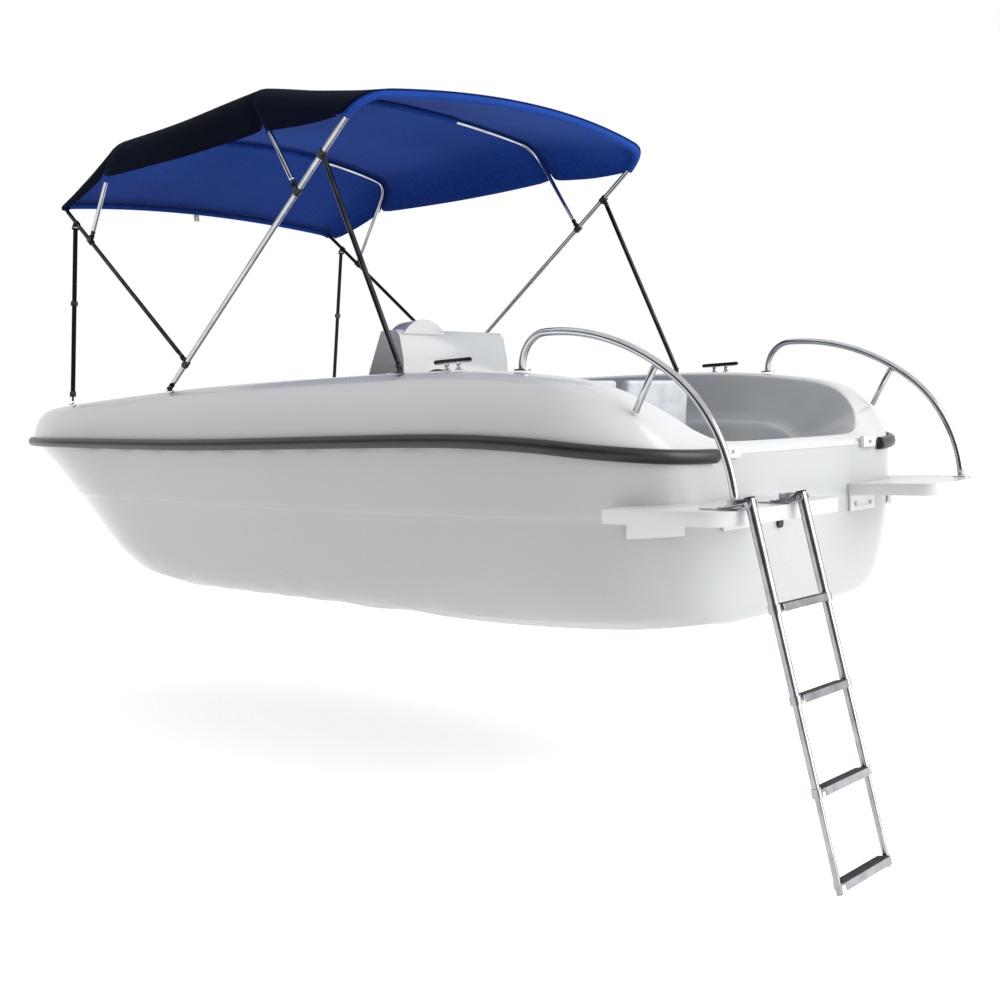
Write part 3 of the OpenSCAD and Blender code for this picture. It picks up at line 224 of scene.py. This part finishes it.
# plain-woven cloth or tape: two sets of threads, drawn coarser than real so that they show, and a soft sheen
def woven(name, dark, light, roughness, thread, fibre, shine):
    material, tones, shader = newMaterial(name, dark, light, roughness, 0.0, {
        "IOR": weave["ior"], "Specular IOR Level": shine, "Sheen Weight": shine * weave["sheen"],
        "Sheen Roughness": weave["sheenRoughness"]})
    tree = material.node_tree
    place = addNode(tree, "ShaderNodeTexCoord", {}, {})
    warp, weft = [addNode(tree, "ShaderNodeTexWave", {"bands_direction": axis}, {
        "Vector": (place, "Object"), "Scale": weave["waveTurns"] / thread,
        "Distortion": weave["threadWander"], "Detail": weave["threadDetail"]}) for axis in ("X", "Y")]
    threads = addNode(tree, "ShaderNodeMath", {"operation": "ADD"}, {0: (warp, "Fac"), 1: (weft, "Fac")})
    fibres, cloud = [addNode(tree, "ShaderNodeTexNoise", {}, {
        "Vector": (place, "Object"), "Scale": 1 / size, "Detail": detail})
        for size, detail in ((fibre, weave["fibreDetail"]), (weave["cloudSize"], weave["cloudDetail"]))]
    mixed = addNode(tree, "ShaderNodeMath", {"operation": "MULTIPLY_ADD"}, {
        0: (fibres, "Fac"), 1: weave["fibreShare"], 2: (cloud, "Fac")})
    centred = addNode(tree, "ShaderNodeMath", {"operation": "SUBTRACT"}, {
        0: (mixed, 0), 1: weave["fibreMiddle"]})
    tree.links.new(centred.outputs[0], tones.inputs["Fac"])
    relief = addNode(tree, "ShaderNodeBump", {}, {
        "Height": (threads, 0), "Distance": weave["reliefDepth"], "Strength": weave["relief"]})
    tree.links.new(relief.outputs["Normal"], shader.inputs["Normal"])
    return material


# each finish: name, darker and lighter tone, roughness, then the size and depth of its grain in metres; a
# woven one gives its thread and its fibre in metres, and its shine
finish = {
    # the hull and the deck are one white gelcoat: their greys are painted shade, darkest on the hull for its
    # shaded side
    "hullGelcoatPaintedShade": surfaced("gelcoat", "whiteGelcoatWithPaintedShade", "#aeb0b1", "#b1b3b4", 0.26, 0.006, 0.0002),
    "deckGelcoatPaintedShade": surfaced("gelcoat", "deckGelcoatPaintedShade", "#c4c6c7", "#c7c9ca", 0.26, 0.006, 0.0002),
    "liner": surfaced("gelcoat", "mouldedLiner", "#c6c9cb", "#cccecf", 0.28, 0.006, 0.0002),
    # the platforms and corner caps are the hull's white gelcoat in a lighter grey, painted light where the
    # stern is lit
    "platformGelcoatLitCopy": surfaced("gelcoat", "platformGelcoatLitCopy", "#cfd0d1", "#d3d4d5", 0.3, 0.006, 0.0002),
    "rubRubber": surfaced("moulded", "extrudedRubber", "#0c0c0e", "#161719", 0.36, 0.004, 0.0004),
    "tube": surfaced("metal", "polishedStainlessTube", "#b2b4b7", "#c2c4c7", 0.1, 0.0015, 0.0002),
    "shadeTube": surfaced("metal", "stainlessTubeInShade", "#2d3034", "#43474b", 0.2, 0.0015, 0.0002),
    "ladderSteel": surfaced("metal", "electropolishedStainless", "#95989b", "#adafb2", 0.14, 0.0018, 0.0002),
    "cast": surfaced("metal", "polishedCastStainless", "#9c9fa3", "#b6b9bc", 0.18, 0.003, 0.0002),
    "cleatBar": surfaced("metal", "smokedCastBar", "#1b1d20", "#33363a", 0.3, 0.003, 0.0002),
    "nylon": surfaced("moulded", "glassFilledNylon", "#0a0a0b", "#17181a", 0.42, 0.0016, 0.0003),
    "screw": surfaced("metal", "blackenedSteel", "#1c1d1f", "#34363a", 0.34, 0.001, 0.0002),
    "clothOutside": woven("navyAcrylicCloth", "#030611", "#070d22", 0.9, 0.0032, 0.004, 0.04),
    # the underside's bright blue, lighter than the navy outside, is painted light shining through the cloth
    "clothInsidePaintedLight": woven("blueUndersidePaintedLight", "#122f74", "#1f479c", 0.9, 0.0032, 0.004, 0.1),
    "clothTrim": woven("navyBindingTape", "#03040a", "#070b19", 0.85, 0.0024, 0.004, 0.04),
    "tab": woven("paleWebbingTab", "#c3c6ca", "#dfe1e4", 0.8, 0.0024, 0.003, 0.2),
    "webbing": woven("blackPolyesterWebbing", "#08080a", "#141416", 0.75, 0.0022, 0.003, 0.2),
    "tread": surfaced("moulded", "ribbedRubberTread", "#1d1f22", "#33363a", 0.55, 0.0016, 0.0006),
    "seat": surfaced("moulded", "rotomouldedSeat", "#b9bdc1", "#c8ccd0", 0.4, 0.0025, 0.0004),
    "turned": surfaced("metal", "turnedSteel", "#8d9094", "#a6a9ad", 0.28, 0.0008, 0.0002),
    "anodised": surfaced("metal", "darkAnodisedAluminium", "#2c2f33", "#404348", 0.38, 0.0012, 0.0002),
    "pedal": surfaced("moulded", "mouldedPedal", "#0d0e10", "#1b1c1f", 0.5, 0.0016, 0.0005),
    "bronze": surfaced("metal", "castBronze", "#8a6426", "#a87e35", 0.3, 0.002, 0.0002),
}
print("materials made")

# distances in metres, angles in degrees
meshing = {
    "weld": 0.00004,
    "onPlane": 0.00005,
    "shellQuad": 70,
    "clothFlat": 40,
    "clothQuad": 80,
    "sameFlat": 0.6,
}


# a frame node's shape as one joined mesh
def copyOf(node):
    bm = bmesh.new()
    bm.from_mesh(nodes[node].data)
    bmesh.ops.remove_doubles(bm, verts=bm.verts, dist=meshing["weld"])
    return bm


# drops what lies beyond each plane, on the side that its normal points to
def trim(bm, planes):
    for place, normal in planes:
        bmesh.ops.bisect_plane(bm, geom=bm.verts[:] + bm.edges[:] + bm.faces[:], plane_co=place,
                               plane_no=normal, clear_outer=True, dist=meshing["onPlane"])


# joins triangles that lie nearly flat together and make a fair quad, both in degrees
def toQuads(bm, flat, quad):
    bmesh.ops.join_triangles(bm, faces=bm.faces[:], angle_face_threshold=math.radians(flat),
                             angle_shape_threshold=math.radians(quad))


def subdivided(piece, levels):
    surface = piece.modifiers.new("smooth", "SUBSURF")
    surface.levels = levels
    surface.render_levels = levels


def thickened(piece, thickness, offset):
    wall = piece.modifiers.new("cloth", "SOLIDIFY")
    wall.thickness = thickness
    wall.offset = offset
    return wall


def flatFaces(piece):
    for polygon in piece.data.polygons:
        polygon.use_smooth = False


# an object from a bmesh, at the origin, smooth shaded
def newObject(name, bm, materials):
    mesh = bpy.data.meshes.new(name)
    for face in bm.faces:
        face.smooth = True
    bm.to_mesh(mesh)
    bm.free()
    piece = bpy.data.objects.new(name, mesh)
    collection.objects.link(piece)
    for material in materials:
        mesh.materials.append(material)
    return piece


# a new piece on its body and with its materials, in place of the frame's nodes in replaced
def makePiece(name, bm, body, materials, replaced):
    piece = newObject(name, bm, materials)
    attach(piece, body)
    if replaced:
        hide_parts(*replaced)
    return piece


# creases open edges and those that turn more than an angle
def sharpEdges(bm, angle, amount):
    crease = bm.edges.layers.float.get("crease_edge") or bm.edges.layers.float.new("crease_edge")
    for edge in bm.edges:
        if len(edge.link_faces) != 2 or edge.calc_face_angle(0) > angle:
            edge[crease] = amount


# a faceted moulding or tube drawn round: quads, kept edges and subdivision
def smoothCopy(node, name, body, material, shape):
    bm = copyOf(node)
    toQuads(bm, shape["flat"], meshing["shellQuad"])
    sharpEdges(bm, math.radians(shape["edge"]), shape["crease"])
    subdivided(makePiece(name, bm, body, [material], [node]), shape["levels"])


easing = {"segments": 3, "sharperThan": 38}


# a square-edged solid with its edges eased by a small radius
def roundedCopy(node, name, body, material, width):
    bm = copyOf(node)
    bmesh.ops.dissolve_limit(bm, angle_limit=math.radians(meshing["sameFlat"]), verts=bm.verts,
                             edges=bm.edges)
    piece = makePiece(name, bm, body, [material], [node])
    bevel = piece.modifiers.new("eased", "BEVEL")
    bevel.width = width
    bevel.segments = easing["segments"]
    bevel.limit_method = "ANGLE"
    bevel.angle_limit = math.radians(easing["sharperThan"])
    bevel.harden_normals = True


# flat: how far two triangles of one quad may turn; edge: the turn past which an edge is kept
shell = {"flat": 35, "edge": 15, "crease": 0.85, "levels": 2}
tube = {"flat": 40, "edge": 50, "crease": 0.9, "levels": 1}
smoothCopy("hull_shell", "hullMoulding", "hull", finish["hullGelcoatPaintedShade"], shell)
smoothCopy("deck_liner", "deckMoulding", "hull", finish["deckGelcoatPaintedShade"], shell)
smoothCopy("rub_rail", "rubRail", "hull", finish["rubRubber"], {**shell, "edge": 50})
for side in ("port", "starboard"):
    smoothCopy(side + "_grab_rail", side + "GrabRail", "hull", finish["tube"], tube)
# each bow's piece, body, slot and finish
bows = {
    "main_bow": ("mainBow", "hull", "stainless_tube", "tube"),
    "front_bow": ("frontBow", "front_frame", "dark_tube", "shadeTube"),
    "rear_mid_bow": ("rearMidBow", "rear_mid_frame", "stainless_tube", "tube"),
    "front_mid_bow": ("frontMidBow", "front_mid_frame", "stainless_tube", "tube"),
}
for node, (name, body, slot, look) in bows.items():
    smoothCopy(node, name, body, finish[look], tube)
print("mouldings and tubes made")

# each fitting's piece, body, slot, finish and edge radius
eased = {
    "port_platform": ("portPlatform", "hull", "gelcoat", "platformGelcoatLitCopy", 0.006),
    "starboard_platform": ("starboardPlatform", "hull", "gelcoat", "platformGelcoatLitCopy", 0.006),
    "corner_caps": ("cornerCaps", "hull", "gelcoat", "platformGelcoatLitCopy", 0.003),
    # the console takes the hull's darker grey, painted shade
    "console": ("consoleMoulding", "hull", "gelcoat", "hullGelcoatPaintedShade", 0.014),
    "seats": ("bucketSeats", "hull", "seat_plastic", "seat", 0.016),
    "ladder_brackets": ("ladderBrackets", "hull", "ladder_steel", "ladderSteel", 0.0008),
    "deck_hinges": ("deckHinges", "hull", "black_nylon", "nylon", 0.0012),
    "main_clamps": ("mainClamps", "hull", "black_nylon", "nylon", 0.0012),
    "front_clamps": ("frontClamps", "front_frame", "black_nylon", "nylon", 0.0012),
    "strap_sliders": ("strapSliders", "front_frame", "black_nylon", "nylon", 0.001),
    "strap_fittings": ("strapFittings", "strap_set", "black_nylon", "nylon", 0.0015),
    "bow_eye": ("bowEye", "hull", "cast_steel", "cast", 0.0015),
    "crank_bearings": ("crankBearings", "hull", "drive_cast", "anodised", 0.003),
    "pedals_upper": ("upperPedals", "pedals_up", "pedal_plastic", "pedal", 0.0015),
    "pedals_lower": ("lowerPedals", "pedals_down", "pedal_plastic", "pedal", 0.0015),
    "rudder": ("rudderBlade", "rudder", "drive_cast", "anodised", 0.003),
}
for node, (name, body, slot, look, width) in eased.items():
    roundedCopy(node, name, body, finish[look], width)

print("fittings eased")

cloth = {
    "mainCrownHeight": 2.116,
    "frontCrownHeight": 2.092,
    "mainCrownIn": 0.022,
    "frontCrownIn": 0.02,
    "eyeRadius": 0.012,
    "crownHalf": 0.12,
    "insideBelow": 0.6,
    "rim": 0.0075,
    "nearSeam": 0.03,
    "nearMiddle": 0.001,
    "sag": 0.002,
    "wave": 0.006,
    "wavesAlong": 2.1,
    "wavesAcross": 5.2,
    "waveLayer": 0.4,
    "ridge": 0.0012,
    "ridgesAlong": 6,
    "ridgesAcross": 21,
    "reach": 0.16,
    "thick": 0.0012,
    "hem": 0.0012,
    "sleeve": 0.0045,
    "foldedShare": 0.13,
}
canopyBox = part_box("canopy")


# a bow's pivot, the direction of its legs, and its crown's middle
def bowPlane(joint, bow):
    pivot = Vector(joints[joint]["pos_m"])
    crown = max((vert.co for vert in nodes[bow].data.vertices if abs(vert.co.y) < cloth["crownHalf"]),
                key=lambda co: (co - pivot).xz.length)
    along = Vector((crown.x - pivot.x, 0, crown.z - pivot.z)).normalized()
    return pivot, along, pivot + along * (Vector((crown.x, 0, crown.z)) - pivot).length


# normal of a bow's plane, towards the stern
def across(along):
    normal = Vector((-along.z, 0, along.x))
    return normal if normal.x < 0 else -normal


rearPivot, rearAlong, rearCrown = bowPlane("rear_mid_fold", "rear_mid_bow")
foldPivot, frontMidAlong, frontMidCrown = bowPlane("front_mid_fold", "front_mid_bow")
mainCrown = Vector((canopyBox[0][0] + cloth["mainCrownIn"], 0, cloth["mainCrownHeight"]))
frontCrown = Vector((canopyBox[1][0] - cloth["frontCrownIn"], 0, cloth["frontCrownHeight"]))
mainPivot = Vector(joints["canopy_fold"]["pos_m"])
frontAlong = (frontCrown - mainPivot).normalized()
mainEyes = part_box("main_eye_ends")
mainFoot = Vector((mainEyes[1][0] - cloth["eyeRadius"], 0, mainEyes[0][2] + cloth["eyeRadius"]))
mainAlong = (mainCrown - mainFoot).normalized()
mainSeam = (mainCrown, across(mainAlong))
rearSeam = (rearPivot, across(rearAlong))
frontMidSeam = (foldPivot, across(frontMidAlong))
frontSeam = (frontCrown, across(frontAlong))


# the same plane, with its other side dropped
def flipped(seam):
    return seam[0], -seam[1]


# the outer skin of the frame's cloth between bow planes, as an open sheet of quads
def canopyPanel(planes):
    bm = copyOf("canopy")
    inside = Vector(((canopyBox[0][0] + canopyBox[1][0]) / 2, 0, canopyBox[0][2] - cloth["insideBelow"]))
    bm.normal_update()
    unwanted = [face for face in bm.faces
                if min(edge.calc_length() for edge in face.edges) < cloth["rim"]
                or face.normal.dot(face.calc_center_median() - inside) < 0]
    bmesh.ops.delete(bm, geom=unwanted, context="FACES")
    trim(bm, planes)
    toQuads(bm, meshing["clothFlat"], meshing["clothQuad"])
    bmesh.ops.subdivide_edges(bm, edges=bm.edges[:], cuts=1, use_grid_fill=True)
    return bm


# flat size of a panel: its longer seam, and the longer of its side and its middle line
def flatSize(bm, seams):
    rim = [edge for edge in bm.edges if len(edge.link_faces) == 1]
    seamRuns = [sum(edge.calc_length() for edge in rim
                    if all(abs((vert.co - place).dot(normal)) < cloth["nearSeam"] for vert in edge.verts))
                for place, normal in seams]
    sideRun = (sum(edge.calc_length() for edge in rim) - sum(seamRuns)) / 2
    middleRun = sum(edge.calc_length() for edge in bm.edges
                    if all(abs(vert.co.y) < cloth["nearMiddle"] for vert in edge.verts))
    return max(seamRuns), max(sideRun, middleRun)


# small slack between the bows: waves that run towards the corners, none along the seams
def relax(bm, seams):
    for vert in bm.verts:
        reach = min(min(abs((vert.co - place).dot(normal)) for place, normal in seams) / cloth["reach"], 1)
        wave = noise.noise(Vector((vert.co.x * cloth["wavesAlong"], vert.co.y * cloth["wavesAcross"],
                                   cloth["waveLayer"])))
        ridge = math.sin(vert.co.y * cloth["ridgesAcross"] + vert.co.x * cloth["ridgesAlong"])
        vert.co.z -= reach * (cloth["sag"] + cloth["wave"] * wave + cloth["ridge"] * ridge)


panels = {
    "rearPanel": {
        "trim": [flipped(rearSeam)],
        "seams": [rearSeam, mainSeam],
        "restsOn": ["main_bow", "rear_mid_bow"],
        "carries": ["rearSleeve"],
    },
    "middlePanel": {
        "trim": [rearSeam, flipped(frontMidSeam)],
        "seams": [rearSeam, frontMidSeam],
        "restsOn": ["rear_mid_bow", "front_mid_bow"],
        "carries": ["rearPocket", "frontPocket"],
    },
    "frontPanel": {
        "trim": [frontMidSeam],
        "seams": [frontMidSeam, frontSeam],
        "restsOn": ["front_mid_bow", "front_bow"],
        "carries": ["frontSleeve", "hemTab"],
    },
}
# the underside is the second material of a panel, and its bound edge is the third; the underside's brighter
# blue is painted light shining through the cloth
panelFinishes = [finish["clothOutside"], finish["clothInsidePaintedLight"], finish["clothTrim"]]
for name, panel in panels.items():
    bm = canopyPanel(panel["trim"])
    panel["flat"] = flatSize(bm, panel["seams"])
    relax(bm, panel["seams"])
    panel["area"] = sum(face.calc_area() for face in bm.faces)
    panel["piece"] = newObject(name, bm, panelFinishes)
    subdivided(panel["piece"], 1)
    skin = thickened(panel["piece"], cloth["thick"], -1)
    skin.material_offset = 1
    skin.material_offset_rim = 2
print("canopy cut")

# each sleeve is its bow's tube grown outward and cut off below the crown; a pocket also stops at a
# place across the boat
toStarboard = Vector((0, -1, 0))
sleeves = {
    "rearSleeve": {
        "bow": "main_bow",
        "body": "hull",
        "crown": mainCrown,
        "along": mainAlong,
        "belowCrown": 0.215,
    },
    "frontSleeve": {
        "bow": "front_bow",
        "body": "front_frame",
        "crown": frontCrown,
        "along": frontAlong,
        "belowCrown": 0.13,
    },
    "rearPocket": {
        "bow": "rear_mid_bow",
        "body": "rear_mid_frame",
        "crown": rearCrown,
        "along": rearAlong,
        "belowCrown": 0.33,
        "starboardEnd": 0.357,
    },
    "frontPocket": {
        "bow": "front_mid_bow",
        "body": "front_mid_frame",
        "crown": frontMidCrown,
        "along": frontMidAlong,
        "belowCrown": 0.31,
        "starboardEnd": 0.364,
    },
}
for name, sleeve in sleeves.items():
    bm = copyOf(sleeve["bow"])
    bm.normal_update()
    for vert in bm.verts:
        vert.co += vert.normal * cloth["sleeve"]
    trim(bm, [(sleeve["crown"] - sleeve["along"] * sleeve["belowCrown"], -sleeve["along"])])
    if "starboardEnd" in sleeve:
        trim(bm, [(toStarboard * sleeve["starboardEnd"], toStarboard)])
    toQuads(bm, meshing["clothFlat"], meshing["clothQuad"])
    # the sleeves take the underside's brighter blue, painted light
    piece = makePiece(name, bm, sleeve["body"], [finish["clothInsidePaintedLight"]], [])
    subdivided(piece, 1)
    thickened(piece, cloth["hem"], 1)

hemTab = {
    "size": (0.0016, 0.034, 0.05),
    "fromCrown": (-0.004, 0.02, -0.03),
}
bm = bmesh.new()
bmesh.ops.create_cube(bm, size=1)
bmesh.ops.scale(bm, vec=hemTab["size"], verts=bm.verts)
bmesh.ops.translate(bm, vec=frontCrown + Vector(hemTab["fromCrown"]), verts=bm.verts)
makePiece("hemTab", bm, "front_frame", [finish["tab"]], [])

rearPanel, middlePanel, frontPanel = [panel["piece"] for panel in panels.values()]
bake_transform(rearPanel)
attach(middlePanel, "rear_mid_frame")
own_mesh(middlePanel)
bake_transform(frontPanel)
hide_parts("canopy")
print("canopy sewn")

for side, sign in (("Port", 1), ("Starboard", -1)):
    bm = copyOf("straps")
    bmesh.ops.bisect_plane(bm, geom=bm.verts[:] + bm.edges[:] + bm.faces[:], plane_co=(0, 0, 0),
                           plane_no=(0, -sign, 0), clear_outer=True)
    strap = makePiece("strap" + side, bm, "strap_set", [finish["webbing"]], ["straps"])
    flatFaces(strap)

tread = {
    "thickness": 0.0016,
    "facesUp": 0.9,
    "bodies": ["ladder_upper", "ladder_second", "ladder_third", "ladder_lowest"],
}
ladderUp = Vector(joints["ladder_slide_2"]["axis"])
ladderUp = ladderUp if ladderUp.z > 0 else -ladderUp
for number, body in enumerate(tread["bodies"], start=1):
    bm = copyOf(f"ladder_step_{number}")
    bm.normal_update()
    others = [face for face in bm.faces if face.normal.dot(ladderUp) < tread["facesUp"]]
    bmesh.ops.delete(bm, geom=others, context="FACES")
    pad = makePiece(f"ladderTread{number}", bm, body, [finish["tread"]], [])
    flatFaces(pad)
    thickened(pad, tread["thickness"], 1)

# the cleats' bars are smoked, and their posts bright
cleatBarDepth = 0.014
bm = copyOf("cleats")
barFrom = max(vert.co.z for vert in bm.verts) - cleatBarDepth
for face in bm.faces:
    face.material_index = 1 if face.calc_center_median().z > barFrom else 0
makePiece("cleats", bm, "hull", [finish["cast"], finish["cleatBar"]], ["cleats"])
print("straps, treads and cleats made")

# fittings that keep the frame's own mesh
plain = {
    "corner_bolts": "cast", "platform_bolts": "cast", "rail_bases": "tube", "ladder_pins": "ladderSteel",
    "ladder_caps": "nylon", "ladder_rails_1": "ladderSteel", "ladder_rails_2": "ladderSteel",
    "ladder_rails_3": "ladderSteel", "ladder_rails_4": "ladderSteel", "ladder_step_1": "ladderSteel",
    "ladder_step_2": "ladderSteel", "ladder_step_3": "ladderSteel", "ladder_step_4": "ladderSteel",
    "main_eye_ends": "nylon", "front_eye_ends": "nylon", "rear_mid_eyes": "nylon", "front_mid_eyes": "nylon",
    "aft_struts": "shadeTube", "strut_ends": "nylon", "pivot_screws_main": "screw",
    "pivot_screws_front": "screw", "deck_eyes": "cast", "steering_wheel": "nylon", "steering_shaft": "turned",
    "column_bearing": "nylon", "crankshaft": "turned", "drive_leg": "anodised", "drive_trunk": "liner",
    "propeller": "bronze", "rudder_tube": "anodised", "drain_plug": "nylon",
}
for node, look in plain.items():
    mesh = nodes[node].data
    mesh.materials.clear()
    mesh.materials.append(finish[look])
print("fittings finished")

# an overcast light from above and astern; the sky is dim to port and below, which shades the near side
studio = {
    "floorBelow": 0.12,
    "floorHalf": 60.0,
    "floorGlow": 0.32,
    "sunFrom": (-0.95, -0.3, 0.42),
    "sunPower": 2.3,
    "sunAngle": 50.0,
    "brightSide": "#ffffff",
    "dimSide": "#4e5053",
    "dimToward": (0.0, 1.0, -0.9),
    "worldStrength": 1.0,
    "fallBetween": (0.05, 0.5),
    "floorColour": "#f4f4f4",
    "floorRoughness": 0.9,
}
world = bpy.data.worlds.new("studio")
world.use_nodes = True
sky = world.node_tree
place = addNode(sky, "ShaderNodeTexCoord", {}, {})
towards = addNode(sky, "ShaderNodeVectorMath", {"operation": "DOT_PRODUCT"}, {
    0: (place, "Generated"), 1: studio["dimToward"]})
fall = addNode(sky, "ShaderNodeValToRGB", {}, {"Fac": (towards, "Value")})
for element, position, code in zip(fall.color_ramp.elements, studio["fallBetween"],
                                   (studio["brightSide"], studio["dimSide"])):
    element.position = position
    element.color = toLinear(code)
sky.links.new(fall.outputs["Color"], sky.nodes["Background"].inputs["Color"])
sky.nodes["Background"].inputs["Strength"].default_value = studio["worldStrength"]
bpy.context.scene.world = world

floorMaterial = newMaterial(
    "paleFloor", studio["floorColour"], studio["floorColour"], studio["floorRoughness"], 0.0,
    {"Emission Color": toLinear(studio["brightSide"]), "Emission Strength": studio["floorGlow"]})[0]
bm = bmesh.new()
bmesh.ops.create_grid(bm, x_segments=1, y_segments=1, size=studio["floorHalf"])
bmesh.ops.translate(bm, verts=bm.verts, vec=(0, 0, cadBox[0][2] - studio["floorBelow"]))
floor = newObject("floor", bm, [floorMaterial])
sunData = bpy.data.lights.new("stern light", "SUN")
sunData.energy = studio["sunPower"]
sunData.angle = math.radians(studio["sunAngle"])
sun = bpy.data.objects.new("stern light", sunData)
sun.rotation_euler = Vector(studio["sunFrom"]).to_track_quat("Z", "Y").to_euler()
collection.objects.link(sun)
print("light and floor set")
